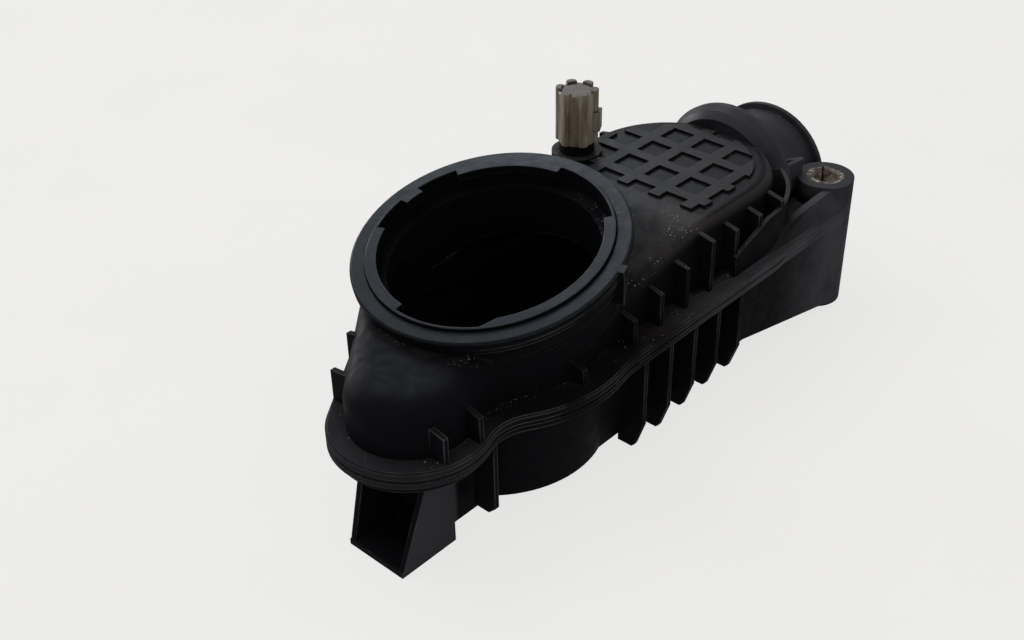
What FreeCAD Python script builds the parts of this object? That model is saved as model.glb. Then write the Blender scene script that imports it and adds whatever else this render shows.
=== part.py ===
import FreeCAD, Part
import math
import os

from FreeCAD import Vector

# A moulded charge air duct for an engine: two nylon shells welded along a flange,
# a wide tilted mouth with a bayonet ring, a hose spigot, a mounting ear with a steel
# sleeve, and a small capped port.
# Frame: origin at the centre of the spigot's end rim, X along the spigot towards its
# hose, Z up, square to the weld plane. Lengths in millimetres.

# General wall and weld flange
WALL = 2.5
LIP_HEIGHT = 2.7
LIP_BEVEL = 0.5
LEDGE_WIDTH = 8.6
TUB_INSET = 5.5
TUB_DRAFT = 3.0
TUB_DEPTH = 31.0
NOSE_DEPTH = 4.7
NOSE_TUB_INSET = 1.2
NOSE_TUB_DRAFT = 0.5
NOSE_LEDGE = 5.4
FAR_BULGE = 3.0
FAR_LEDGE = 1.0

# Plan of the flange: the big circle under the mouth, the nose, the straight sides
# and the round far end
SIDE_HALF_WIDTH = 40.0
BODY_BULGE = 2.0
BODY_CENTRE_X = -141.7
BODY_RADIUS = SIDE_HALF_WIDTH + BODY_BULGE
WALL_RADIUS = BODY_RADIUS - LEDGE_WIDTH
FAR_WALL_RADIUS = WALL_RADIUS + FAR_BULGE
FAR_RADIUS = FAR_WALL_RADIUS + FAR_LEDGE
FAR_STEP_START = 92.0
FAR_STEP_END = 104.0
BOWL_STEP_START = 150.0
BOWL_STEP_END = 165.0
NOSE_CENTRE_X = -185.7
NOSE_CENTRE_Y = -13.0
NOSE_RADIUS = 22.5
WAIST_RADIUS = 14.0
FLARE_RADIUS = 40.0
END_CENTRE_X = -57.0

# Roof of the upper shell
DECK_HEIGHT = 22.5
CREASE_X = -87.7
RAMP_TILT = 13.35
NOSE_HEIGHT = 18.5
DECK_SHOULDER = 4.0
NOSE_SHOULDER = 7.5

# Raised lattice on the deck
LATTICE_PITCH = 12.0
LATTICE_RIB = 4.0
LATTICE_HEIGHT = 0.9
LATTICE_X = -74.7
LATTICE_Y = -23.0
LATTICE_MARGIN = 6.2
LATTICE_STUB = 4.0
CROSS_RIBS = 4
LONG_RIBS = 5

# Mouth
MOUTH_X = -140.9
MOUTH_Z = 31.3
MOUTH_RIM_RADIUS = 39.6
MOUTH_RIM_THICKNESS = 2.4
MOUTH_LIP_RADIUS = 38.9
MOUTH_LIP_THICKNESS = 1.2
MOUTH_GROOVE = 0.8
MOUTH_COLLAR_RADIUS = 37.4
MOUTH_COLLAR_DEPTH = 9.0
MOUTH_NECK_RADIUS = WALL_RADIUS
MOUTH_NECK_START = 14.0
MOUTH_NECK_DEPTH = 22.0
MOUTH_BORE_RADIUS = 30.5
MOUTH_SEAT_RADIUS = 35.2
MOUTH_SEAT_DEPTH = 6.0
POINTER_ANGLE = -75.5
POINTER_WIDTH = 3.0
POINTER_LENGTH = 11.0
POINTER_REACH = 1.4
POINTER_TIP = 0.6

# Bayonet ring in the mouth
RING_CLEARANCE = 0.2
RING_STAND = 0.9
RING_WALL = 0.8
RING_LUG_RADIUS = 31.8
RING_LUG_THICKNESS = 2.6
RING_LUGS = ((4.0, 59.0), (80.0, 91.0), (112.0, 175.0), (226.0, 316.0))
RING_RAMP_FOOT = 218.0
RING_RAMP_TOP = 226.0

# Hose spigot and its collar
SPIGOT_RADIUS = 20.3
SPIGOT_BORE = 18.5
SPIGOT_BEAD_RADIUS = 22.3
SPIGOT_BEAD_WIDTH = 2.5
SPIGOT_LEAD = 0.8
COLLAR_BACK_X = -29.0
COLLAR_FRONT_X = -23.5
COLLAR_BACK_RADIUS = 23.2
COLLAR_FRONT_RADIUS = 24.4
COLLAR_RISE = 5.8
COLLAR_TAPER = 2.0
COLLAR_ROUND = 0.8
COLLAR_CROWN = 0.2
COLLAR_LIP = 1.6
COLLAR_RECESS = 3.0
SPIGOT_GAP = 0.3

# Mounting ear and its sleeve
EAR_X = -13.2
EAR_INSET = 10.2
EAR_Y = EAR_INSET - SIDE_HALF_WIDTH
EAR_RADIUS = 9.3
EAR_TOP = 10.5
EAR_BOTTOM = -34.8
EAR_BACK_ANGLE = 95.0
EAR_ROOT_ANGLE = -12.0
EAR_WEB_ANGLE = -50.0
EAR_WEB_RISE = 8.0
SLEEVE_RADIUS = 6.0
SLEEVE_BORE = 4.5
SLEEVE_SPLIT = 0.7
SLEEVE_SPLIT_ANGLE = 40.0
BAND_START_X = -92.0
BAND_TOP_INSET = 3.4
BAND_TOP_Y = BAND_TOP_INSET - SIDE_HALF_WIDTH
BAND_THICKNESS = 2.5

# Gussets above the flange and fins below it
GUSSET_THICKNESS = 1.6
GUSSET_REACH = 4.6
GUSSET_FIRST_X = -120.7
GUSSET_COUNT = 7
GUSSET_PITCH = 12.0
GUSSET_TOP = 19.5
GUSSET_DROP = 1.2
GUSSET_END_RISE = 1.5
BODY_GUSSETS = ((-2, 9.0),)
NOSE_GUSSETS = ((-5, 12.0), (-6, 12.0))
FLANK_GUSSETS = ((-5, 1.3, 16.0), (-6, 5.0, 13.6))
FLANK_ROOT = 3.0
FENCE_INSET = 3.0
FENCE_RADIUS = SIDE_HALF_WIDTH - FENCE_INSET
FENCE_THICKNESS = 1.3
FENCE_TOP = 16.0
FENCE_START_X = -74.0
FENCE_LOW_TOP = 10.0
FENCE_END_ANGLE = -36.0
SPUR_JOINT_X = -17.0
SPUR_JOINT_Y = -22.8
SPUR_COLLAR_Y = -17.8
FIN_THICKNESS = 1.5
FIN_FIRST_X = -119.4
FIN_PITCH = 11.7
FIN_BOTTOMS = (-34.5, -34.2, -32.9, -31.6, -31.2)
FIN_EDGE_Y = SIDE_HALF_WIDTH - LIP_BEVEL
FIN_CHAMFER_RISE = 9.5
FIN_CHAMFER_INSET = 2.9
WAIST_FIN_X = -174.0
WAIST_FIN_Y = -32.0
WAIST_FIN_DEPTH = 8.0
WAIST_FIN_CHAMFER = 2.5
WAIST_FIN_BOTTOM = -27.5

# Bare side plate next to the ear
PLATE_INSET = 1.0
PLATE_Y = PLATE_INSET - SIDE_HALF_WIDTH
PLATE_THICKNESS = 2.0
PLATE_LEFT_BOTTOM = -20.5
PLATE_RIGHT_BOTTOM = -34.0

# Foot pocket under the nose
FOOT_FRONT_X = -201.2
FOOT_BACK_X = -180.9
FOOT_NEAR_Y = -22.5
FOOT_FAR_Y = -1.8
FOOT_BOTTOM = -37.5
FOOT_WALL = 1.9
FOOT_NEAR_TOP_X = -186.3
FOOT_FAR_TOP_X = -192.9

# Capped port on the far edge of the deck
PORT_X = -72.0
PORT_INSET = 13.0
PORT_Y = SIDE_HALF_WIDTH - PORT_INSET
PORT_BASE_RADIUS = 8.0
PORT_BASE_HEIGHT = 1.4
PORT_NECK_RADIUS = 5.6
PORT_NECK_HEIGHT = 5.0
PORT_NIPPLE_RADIUS = 4.0
PORT_NIPPLE_HEIGHT = 10.0
PORT_BORE = 2.2
CAP_CORE_RADIUS = 5.9
CAP_RIB_RADIUS = 6.7
CAP_RIB_WIDTH = 3.2
CAP_RIB_BEVEL = 0.8
CAP_RIBS = 6
CAP_HEIGHT = 16.9
CAP_RIB_RISE = 0.7
CAP_CLEARANCE = 0.3
CAP_CHAMFER = 0.5
CAP_DISH_WALL = 1.0
CAP_KEY_ANGLE = -60.0
CAP_KEY_WIDTH = 4.4
CAP_KEY_REACH = 0.9
CAP_KEY_START = 4.2
CAP_KEY_HEIGHT = 6.3
SEAL_THICKNESS = 1.5

UP = Vector(0, 0, 1)
ALONG = Vector(1, 0, 0)
OVERLAP = 1.0
TALL = 3 * SIDE_HALF_WIDTH


def polar(centre, radius, degrees):
    """Point at an angle on a circle in plan."""
    angle = math.radians(degrees)
    return Vector(centre.x + radius * math.cos(angle), centre.y + radius * math.sin(angle), 0)


def bearing(centre, point):
    """Angle in degrees from a centre to a point in plan."""
    return math.degrees(math.atan2(point.y - centre.y, point.x - centre.x))


def arc(centre, radius, start, end):
    """Arc edge from start to end in degrees, counter-clockwise if end is larger."""
    middle = (start + end) / 2.0
    points = [polar(centre, radius, a) for a in (start, middle, end)]
    return Part.Arc(*points).toShape()


def meet(first, first_distance, second, second_distance):
    """Point at given distances from two centres, on the left of the line between them."""
    span = second - first
    along = (span.Length ** 2 + first_distance ** 2 - second_distance ** 2) / (2 * span.Length)
    across = math.sqrt(first_distance ** 2 - along ** 2)
    unit = span.multiply(1 / span.Length)
    return first + unit * along + Vector(-unit.y, unit.x, 0) * across


def lines(points):
    """Edges joining the points in order."""
    return [Part.makeLine(a, b) for a, b in zip(points, points[1:])]


def prism(wire, low, high):
    """Solid between two heights over a closed plan wire."""
    face = Part.Face(wire)
    face.translate(Vector(0, 0, low))
    return face.extrude(UP * (high - low))


BODY = Vector(BODY_CENTRE_X, 0, 0)
NOSE = Vector(NOSE_CENTRE_X, NOSE_CENTRE_Y, 0)
END = Vector(END_CENTRE_X, 0, 0)
EAR = Vector(EAR_X, EAR_Y, 0)


def nose_edges(body_radius, far_radius, nose_radius):
    """Edges from the far tangent round the nose to the waist.

    Also gives the angles at which the body circle meets the waist and the tangent.
    """
    waist_radius = WAIST_RADIUS + NOSE_RADIUS - nose_radius
    waist = meet(BODY, body_radius + waist_radius, NOSE, nose_radius + waist_radius)
    lean = math.degrees(math.asin((far_radius - nose_radius) / (BODY - NOSE).Length))
    tangent = bearing(NOSE, BODY) + 90 + lean
    edges = lines([polar(BODY, far_radius, tangent), polar(NOSE, nose_radius, tangent)])
    edges.append(arc(NOSE, nose_radius, tangent, bearing(NOSE, waist) + 360))
    edges.append(arc(waist, waist_radius, bearing(waist, NOSE), bearing(waist, BODY)))
    return edges, bearing(BODY, waist), tangent


def stepped_edges(body_radius, far_radius, nose_radius):
    """Edges from the step on the far side of the body round the nose to the waist."""
    edges, body_start, tangent = nose_edges(body_radius, far_radius, nose_radius)
    edges.append(arc(BODY, far_radius, FAR_STEP_END, tangent))
    edges += lines([polar(BODY, body_radius, FAR_STEP_START), polar(BODY, far_radius, FAR_STEP_END)])
    return edges, body_start


def nose_outline(body_radius, far_radius, nose_radius):
    """Closed plan of the body circle with the nose."""
    edges, body_start = stepped_edges(body_radius, far_radius, nose_radius)
    edges.append(arc(BODY, body_radius, body_start, FAR_STEP_START))
    return Part.Wire(Part.__sortEdges__(edges))


def bowl_outline(inset):
    """Closed plan of the body alone, drawn in from the flange, narrower on the far side."""
    near_radius = BODY_RADIUS - inset
    far_radius = FAR_RADIUS - inset
    edges = [arc(BODY, near_radius, BOWL_STEP_END, FAR_STEP_START + 360)]
    edges.append(arc(BODY, far_radius, FAR_STEP_END, BOWL_STEP_START))
    edges += lines([polar(BODY, near_radius, FAR_STEP_START), polar(BODY, far_radius, FAR_STEP_END)])
    edges += lines([polar(BODY, far_radius, BOWL_STEP_START), polar(BODY, near_radius, BOWL_STEP_END)])
    return Part.Wire(Part.__sortEdges__(edges))


def deck_outline(inset):
    """Closed plan of the straight part with its round far end."""
    half = SIDE_HALF_WIDTH - inset
    start = Vector(BODY_CENTRE_X, half, 0)
    edges = [arc(END, half, -90, 90)]
    edges += lines([polar(END, half, 90), start, Vector(start.x, -half, 0), polar(END, half, -90)])
    return Part.Wire(Part.__sortEdges__(edges))


def flange_outline(inset):
    """Closed plan of the whole weld flange, drawn in by inset."""
    radius = BODY_RADIUS - inset
    edges, body_start = stepped_edges(radius, FAR_RADIUS - inset, NOSE_RADIUS - inset)
    half = SIDE_HALF_WIDTH - inset
    drop = SIDE_HALF_WIDTH + FLARE_RADIUS
    reach = math.sqrt((BODY_RADIUS + FLARE_RADIUS) ** 2 - drop ** 2)
    flare_radius = FLARE_RADIUS + inset
    for side in (-1, 1):
        flare = Vector(BODY_CENTRE_X + reach, side * drop, 0)
        on_body = bearing(BODY, flare)
        edges.append(arc(flare, flare_radius, bearing(flare, BODY), -90.0 * side))
        edges += lines([polar(flare, flare_radius, -90.0 * side), polar(END, half, 90.0 * side)])
        if side < 0:
            edges.append(arc(BODY, radius, body_start, on_body))
        else:
            edges.append(arc(BODY, radius, on_body, FAR_STEP_START))
    edges.append(arc(END, half, -90, 90))
    return Part.Wire(Part.__sortEdges__(edges))


def ear_outline(inset):
    """Closed plan of the web that joins the flange to the ear."""
    radius = EAR_RADIUS - inset
    tip = polar(EAR, radius, -90)
    back = polar(EAR, radius, EAR_BACK_ANGLE)
    root = polar(END, SIDE_HALF_WIDTH - LEDGE_WIDTH, EAR_ROOT_ANGLE)
    corner = Vector(END_CENTRE_X, tip.y, 0)
    edges = [arc(EAR, radius, -90, EAR_BACK_ANGLE)]
    edges += lines([back, root, Vector(END_CENTRE_X, root.y, 0), corner, tip])
    return Part.Wire(Part.__sortEdges__(edges))


def roof_shape(drop):
    """Side profile under the deck, its ramp and nothing above, as a wide solid."""
    slope = math.tan(math.radians(RAMP_TILT))
    low_x = BODY_CENTRE_X - BODY_RADIUS
    low_z = DECK_HEIGHT - (CREASE_X - low_x) * slope
    points = [Vector(low_x, -TALL / 2, -TALL), Vector(low_x, -TALL / 2, low_z - drop)]
    points += [Vector(CREASE_X, -TALL / 2, DECK_HEIGHT - drop), Vector(0, -TALL / 2, DECK_HEIGHT - drop)]
    points += [Vector(0, -TALL / 2, -TALL), points[0]]
    face = Part.Face(Part.makePolygon(points))
    return face.extrude(Vector(0, TALL, 0))


def top_edges(solid):
    """Edges between a wall and the roof, without the creases that run straight across."""
    chosen = []
    for edge in solid.Edges:
        box = edge.BoundBox
        across = box.XLength < LIP_BEVEL and box.YLength > END_CENTRE_X - CREASE_X
        if box.ZMin > LIP_HEIGHT and not across:
            chosen.append(edge)
    return chosen


def deck_form(drop):
    """Closed form under the deck and its ramp, drawn in by drop, with square shoulders."""
    return prism(deck_outline(LEDGE_WIDTH + drop), 0, DECK_HEIGHT).common(roof_shape(drop))


def dome_outline(drop):
    """Closed plan of the dome over the body and nose, drawn in by drop."""
    return nose_outline(WALL_RADIUS - drop, FAR_WALL_RADIUS - drop, NOSE_RADIUS - NOSE_LEDGE - drop)


def body_form():
    """Outer form of the duct above the weld plane, with rounded shoulders."""
    deck = deck_form(0)
    dome = prism(dome_outline(0), 0, NOSE_HEIGHT)
    deck = deck.makeFillet(DECK_SHOULDER, top_edges(deck))
    return deck.fuse(dome.makeFillet(NOSE_SHOULDER, top_edges(dome)))


def body_hollow():
    """Space inside the duct above the weld plane, with bevelled shoulders."""
    deck = deck_form(WALL)
    deck = deck.makeChamfer(DECK_SHOULDER / 2, top_edges(deck))
    bevel = NOSE_SHOULDER / 2
    shoulder = NOSE_HEIGHT - WALL - bevel
    wires = [dome_outline(WALL), dome_outline(WALL + bevel)]
    for wire, height in zip(wires, (shoulder, shoulder + bevel)):
        wire.translate(UP * height)
    return deck.multiFuse([prism(dome_outline(WALL), 0, shoulder), Part.makeLoft(wires, True, True)])


def mouth_place(shape):
    """Move a shape made about the Z axis, rim plane at z = 0, to the tilted mouth."""
    shape.rotate(Vector(0, 0, 0), Vector(0, 1, 0), -RAMP_TILT)
    shape.translate(Vector(MOUTH_X, 0, MOUTH_Z))
    return shape


def revolve(points, axis):
    """Solid of revolution of a closed profile about an axis through the origin."""
    face = Part.Face(Part.makePolygon(points + points[:1]))
    return face.revolve(Vector(0, 0, 0), axis, 360)


def mouth_form():
    """Collar, rim and second lip round the mouth, as a full solid."""
    lip_top = MOUTH_RIM_THICKNESS + MOUTH_GROOVE
    lip_low = lip_top + MOUTH_LIP_THICKNESS
    profile = [
        (0, 0), (MOUTH_RIM_RADIUS - LIP_BEVEL, 0), (MOUTH_RIM_RADIUS, -LIP_BEVEL),
        (MOUTH_RIM_RADIUS, -MOUTH_RIM_THICKNESS), (MOUTH_COLLAR_RADIUS, -MOUTH_RIM_THICKNESS),
        (MOUTH_COLLAR_RADIUS, -lip_top), (MOUTH_LIP_RADIUS, -lip_top),
        (MOUTH_LIP_RADIUS, -lip_low), (MOUTH_COLLAR_RADIUS, -lip_low),
        (MOUTH_COLLAR_RADIUS, -MOUTH_COLLAR_DEPTH), (MOUTH_NECK_RADIUS, -MOUTH_NECK_START),
        (MOUTH_NECK_RADIUS, -MOUTH_NECK_DEPTH), (0, -MOUTH_NECK_DEPTH),
    ]
    return mouth_place(revolve([Vector(r, 0, h) for r, h in profile], UP))


def mouth_hollow():
    """Seat for the bayonet ring and the bore below it."""
    seat = Part.makeCylinder(MOUTH_SEAT_RADIUS, MOUTH_SEAT_DEPTH + OVERLAP, Vector(0, 0, -MOUTH_SEAT_DEPTH))
    depth = MOUTH_NECK_DEPTH + WALL
    bore = Part.makeCylinder(MOUTH_BORE_RADIUS, depth, Vector(0, 0, -depth))
    return mouth_place(seat.fuse(bore))


def mouth_pointer():
    """Small arrow that marks the locking position, hanging from the rim."""
    half = POINTER_WIDTH / 2
    outer = MOUTH_RIM_RADIUS + POINTER_REACH
    low = -MOUTH_RIM_THICKNESS
    head = Part.makeBox(outer - MOUTH_COLLAR_RADIUS, POINTER_WIDTH, MOUTH_RIM_THICKNESS,
                        Vector(MOUTH_COLLAR_RADIUS, -half, low))
    sections = []
    for reach, half_width, height in ((outer, half, low),
                                      (MOUTH_LIP_RADIUS, POINTER_TIP / 2, low - POINTER_LENGTH)):
        points = [Vector(MOUTH_NECK_RADIUS, -half_width, height), Vector(reach, -half_width, height),
                  Vector(reach, half_width, height), Vector(MOUTH_NECK_RADIUS, half_width, height)]
        sections.append(Part.makePolygon(points + points[:1]))
    spike = Part.makeLoft(sections, True, True)
    arrow = head.fuse(spike)
    arrow.rotate(Vector(0, 0, 0), UP, POINTER_ANGLE)
    return mouth_place(arrow)


def spigot_profile():
    """Closed revolve profile of the spigot tube and its square-backed bead with a lead-in."""
    start = COLLAR_BACK_X - WALL
    return [
        Vector(start, 0, 0), Vector(start, SPIGOT_RADIUS, 0), Vector(-SPIGOT_BEAD_WIDTH, SPIGOT_RADIUS, 0),
        Vector(-SPIGOT_BEAD_WIDTH, SPIGOT_BEAD_RADIUS, 0), Vector(-SPIGOT_LEAD, SPIGOT_BEAD_RADIUS, 0),
        Vector(0, SPIGOT_BEAD_RADIUS - SPIGOT_LEAD, 0), Vector(0, 0, 0),
    ]


def collar_half(side):
    """Arched collar round the spigot's root, above (1) or below (-1) the weld plane.

    A recess in its front leaves a thin lip that stands clear of the tube.
    """
    middle = (COLLAR_BACK_X + COLLAR_FRONT_X) / 2
    back = COLLAR_BACK_X - WALL
    profile = [
        Vector(back, 0, 0), Vector(back, COLLAR_BACK_RADIUS - COLLAR_TAPER, 0),
        Vector(COLLAR_BACK_X, COLLAR_BACK_RADIUS, 0), Vector(middle, COLLAR_FRONT_RADIUS + COLLAR_CROWN, 0),
        Vector(COLLAR_FRONT_X - COLLAR_ROUND, COLLAR_FRONT_RADIUS, 0),
        Vector(COLLAR_FRONT_X, COLLAR_FRONT_RADIUS - COLLAR_ROUND, 0), Vector(COLLAR_FRONT_X, 0, 0),
    ]
    ring = revolve(profile, ALONG)
    ring.translate(Vector(0, 0, side * COLLAR_RISE))
    skirt = Part.makeBox(COLLAR_FRONT_X - back, 2 * COLLAR_BACK_RADIUS, COLLAR_RISE + OVERLAP,
                         Vector(back, -COLLAR_BACK_RADIUS, 0))
    if side < 0:
        skirt.rotate(Vector(0, 0, 0), ALONG, 180)
    recess = Part.makeCylinder(COLLAR_FRONT_RADIUS - COLLAR_LIP, COLLAR_RECESS,
                               Vector(COLLAR_FRONT_X - COLLAR_RECESS, 0, side * COLLAR_RISE), ALONG)
    keep = Part.makeBox(TALL, TALL, TALL, Vector(-TALL, -TALL / 2, 0 if side > 0 else -TALL))
    return ring.fuse(skirt).cut(recess).common(keep)


def lip(side):
    """One half of the weld flange with bevelled edges, above or below the weld plane."""
    layers = [(0.0, LIP_BEVEL, LIP_BEVEL), (LIP_BEVEL, LIP_HEIGHT - LIP_BEVEL, 0.0),
              (LIP_HEIGHT - LIP_BEVEL, LIP_HEIGHT, LIP_BEVEL)]
    solids = []
    for low, high, inset in layers:
        ends = (low, high) if side > 0 else (-high, -low)
        solids.append(prism(flange_outline(inset), *ends))
        solids.append(prism(ear_outline(inset), *ends))
    return solids[0].multiFuse(solids[1:])


def plank(points, thickness, direction):
    """Flat plate with a polygon outline, centred on its own plane."""
    face = Part.Face(Part.makePolygon(points + points[:1]))
    face.translate(direction * (-thickness / 2))
    return face.extrude(direction * thickness)


def gusset(wall_point, outward, reach, top):
    """Upright gusset on the ledge, from the wall outwards."""
    inner = wall_point - outward * OVERLAP
    outer = wall_point + outward * reach
    along = Vector(-outward.y, outward.x, 0)
    low = LIP_HEIGHT - OVERLAP
    points = [inner + UP * low, outer + UP * low, outer + UP * (top - GUSSET_DROP), inner + UP * top]
    return plank(points, GUSSET_THICKNESS, along)


def side_gussets():
    """Gussets above the flange along both straight sides, as high as the sloping roof allows."""
    made = []
    half = SIDE_HALF_WIDTH - LEDGE_WIDTH
    slope = math.tan(math.radians(RAMP_TILT))
    for number in range(GUSSET_COUNT):
        x = GUSSET_FIRST_X + number * GUSSET_PITCH
        top = GUSSET_TOP - max(0, CREASE_X - x) * slope
        if 0 < x - CREASE_X < GUSSET_PITCH:
            top += GUSSET_END_RISE
        for side in (-1, 1):
            made.append(gusset(Vector(x, side * half, 0), Vector(0, side, 0), GUSSET_REACH, top))
    return made


def near_point(centre, radius, number):
    """Point of a round wall's near side at a place of the gussets' grid."""
    x = GUSSET_FIRST_X + number * GUSSET_PITCH
    return Vector(x, centre.y - math.sqrt(radius ** 2 - (x - centre.x) ** 2), 0)


def round_gussets():
    """Gussets above the flange round the body, the nose and the far flank, on the same grid."""
    near = Vector(0, -1, 0)
    nose_radius = NOSE_RADIUS - NOSE_LEDGE
    made = []
    for centre, radius, places in ((BODY, WALL_RADIUS, BODY_GUSSETS), (NOSE, nose_radius, NOSE_GUSSETS)):
        for number, top in places:
            made.append(gusset(near_point(centre, radius, number), near, GUSSET_REACH, top))
    tangent = nose_edges(WALL_RADIUS, FAR_WALL_RADIUS, nose_radius)[2]
    start = polar(NOSE, nose_radius, tangent)
    flank = polar(BODY, FAR_WALL_RADIUS, tangent) - start
    far = Vector(0, 1, 0)
    for number, reach, top in FLANK_GUSSETS:
        share = (GUSSET_FIRST_X + number * GUSSET_PITCH - start.x) / flank.x
        root = start + flank * share - far * FLANK_ROOT
        made.append(gusset(root, far, reach + FLANK_ROOT, top))
    return made


def fence():
    """Thin curved wall on the near ledge that links the gussets to the spigot's root."""
    inner = FENCE_RADIUS - FENCE_THICKNESS
    start = Vector(FENCE_START_X, 0, 0)
    edges = [arc(END, FENCE_RADIUS, -90, FENCE_END_ANGLE), arc(END, inner, -90, FENCE_END_ANGLE)]
    edges += lines([polar(END, FENCE_RADIUS, FENCE_END_ANGLE), polar(END, inner, FENCE_END_ANGLE)])
    edges += lines([polar(END, FENCE_RADIUS, -90), Vector(start.x, -FENCE_RADIUS, 0),
                    Vector(start.x, -inner, 0), polar(END, inner, -90)])
    wall = prism(Part.Wire(Part.__sortEdges__(edges)), LIP_HEIGHT - OVERLAP, FENCE_TOP)
    profile = [Vector(FENCE_START_X, 0, 0), Vector(FENCE_START_X, 0, FENCE_LOW_TOP),
               Vector(END_CENTRE_X, 0, FENCE_TOP), Vector(0, 0, FENCE_TOP), Vector(0, 0, 0)]
    under = Part.Face(Part.makePolygon(profile + profile[:1])).extrude(Vector(0, -TALL, 0))
    wall = wall.common(under)
    star = polar(END, inner + FENCE_THICKNESS / 2, FENCE_END_ANGLE)
    root = polar(END, SIDE_HALF_WIDTH - LEDGE_WIDTH - OVERLAP, FENCE_END_ANGLE)
    joint = Vector(SPUR_JOINT_X, SPUR_JOINT_Y, 0)
    collar = Vector(COLLAR_FRONT_X - OVERLAP, SPUR_COLLAR_Y, 0)
    spurs = []
    for first, second in ((star, root), (star, collar), (star, joint), (joint, collar)):
        spurs.append(upright(first, second, LIP_HEIGHT - OVERLAP, FENCE_TOP))
    return wall.multiFuse(spurs)


def upright(start, end, low, high):
    """Thin upright wall between two plan points."""
    along = end - start
    side = Vector(-along.y, along.x, 0)
    side.normalize()
    step = side * (FENCE_THICKNESS / 2)
    points = [start - step, end - step, end + step, start + step]
    return prism(Part.makePolygon(points + points[:1]), low, high)


def band():
    """Twisted web that rises from the ledge to the top of the ear."""
    wall_y = -(SIDE_HALF_WIDTH - LEDGE_WIDTH)
    near_y = -SIDE_HALF_WIDTH + LIP_BEVEL
    start = [(near_y, 0), (wall_y - BAND_THICKNESS, LIP_HEIGHT), (wall_y, LIP_HEIGHT), (wall_y, 0)]
    end_y = BAND_TOP_Y + BAND_THICKNESS
    finish = [(near_y, 0), (BAND_TOP_Y, EAR_TOP), (end_y, EAR_TOP), (end_y, 0)]
    wires = []
    for x, section in ((BAND_START_X, start), (EAR_X, finish)):
        points = [Vector(x, y, z) for y, z in section]
        wires.append(Part.makePolygon(points + points[:1]))
    return Part.makeLoft(wires, True, True)


def ear_boss(low, high):
    """Round boss of the ear between two heights."""
    return Part.makeCylinder(EAR_RADIUS, high - low, Vector(EAR_X, EAR_Y, low))


def ear_hole():
    """Bore through the ear, the size of the sleeve's outside."""
    return Part.makeCylinder(SLEEVE_RADIUS, TALL, Vector(EAR_X, EAR_Y, -TALL / 2))


def lattice():
    """Raised waffle ribs on the deck, kept inside its shoulder."""
    low = DECK_HEIGHT - OVERLAP
    height = OVERLAP + LATTICE_HEIGHT
    ribs = []
    y_low = LATTICE_Y - LATTICE_STUB / 2
    y_high = LATTICE_Y + (LONG_RIBS - 1) * LATTICE_PITCH + LATTICE_RIB + LATTICE_STUB / 2
    x_low = LATTICE_X - LATTICE_STUB
    x_high = LATTICE_X + (CROSS_RIBS - 1) * LATTICE_PITCH + LATTICE_RIB + LATTICE_STUB
    for number in range(CROSS_RIBS):
        x = LATTICE_X + number * LATTICE_PITCH
        ribs.append(Part.makeBox(LATTICE_RIB, y_high - y_low, height, Vector(x, y_low, low)))
    for number in range(LONG_RIBS):
        y = LATTICE_Y + number * LATTICE_PITCH
        ribs.append(Part.makeBox(x_high - x_low, LATTICE_RIB, height, Vector(x_low, y, low)))
    grid = ribs[0].multiFuse(ribs[1:])
    return grid.common(prism(deck_outline(LEDGE_WIDTH + LATTICE_MARGIN), low, low + height))


def port():
    """Base, neck and nipple of the small port."""
    foot = DECK_HEIGHT - DECK_SHOULDER
    base_top = DECK_HEIGHT + PORT_BASE_HEIGHT
    place = Vector(PORT_X, PORT_Y, foot)
    neck_top = DECK_HEIGHT + PORT_NECK_HEIGHT
    base = Part.makeCylinder(PORT_BASE_RADIUS, base_top - foot, place)
    neck = Part.makeCylinder(PORT_NECK_RADIUS, neck_top - foot, place)
    nipple = Part.makeCylinder(PORT_NIPPLE_RADIUS, neck_top + PORT_NIPPLE_HEIGHT - foot, place)
    return base.multiFuse([neck, nipple])


def port_bore():
    """Passage from the duct to the top of the nipple."""
    low = DECK_HEIGHT - 3 * WALL
    return Part.makeCylinder(PORT_BORE, TALL, Vector(PORT_X, PORT_Y, low))


def upper_shell():
    """Upper half: deck, nose, mouth, whole spigot, ear top, lattice, gussets and port."""
    solid = body_form()
    tube = revolve(spigot_profile(), ALONG)
    parts = [lip(1), mouth_form(), mouth_pointer(), collar_half(1), tube, port(), lattice()]
    parts += [ear_boss(0, EAR_TOP), band(), fence()] + side_gussets() + round_gussets()
    solid = solid.multiFuse(parts)
    bore = Part.makeCylinder(SPIGOT_BORE, -COLLAR_BACK_X + 2 * WALL + OVERLAP,
                             Vector(COLLAR_BACK_X - 2 * WALL, 0, 0), ALONG)
    solid = solid.cut(body_hollow().multiFuse([mouth_hollow(), bore]))
    solid = solid.cut(port_bore()).cut(ear_hole())
    return solid.removeSplitter()


def nose_tub_outline(inset):
    """Closed plan of the tub's shallow part, which reaches further out under the nose."""
    nose_inset = inset - TUB_INSET + NOSE_TUB_INSET
    return nose_outline(BODY_RADIUS - inset, FAR_RADIUS - inset, NOSE_RADIUS - nose_inset)


def tub_form(drop):
    """Drafted form of the duct below the weld plane, drawn in by drop: deep, but shallow at the nose."""
    forms = []
    inset = TUB_INSET + drop
    for plan, draft, depth in ((nose_tub_outline, NOSE_TUB_DRAFT, NOSE_DEPTH),
                               (bowl_outline, TUB_DRAFT, TUB_DEPTH), (deck_outline, TUB_DRAFT, TUB_DEPTH)):
        bottom = plan(inset + draft)
        bottom.translate(UP * (drop - depth))
        forms.append(Part.makeLoft([plan(inset), bottom], True, True))
    return forms[0].multiFuse(forms[1:])


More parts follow.
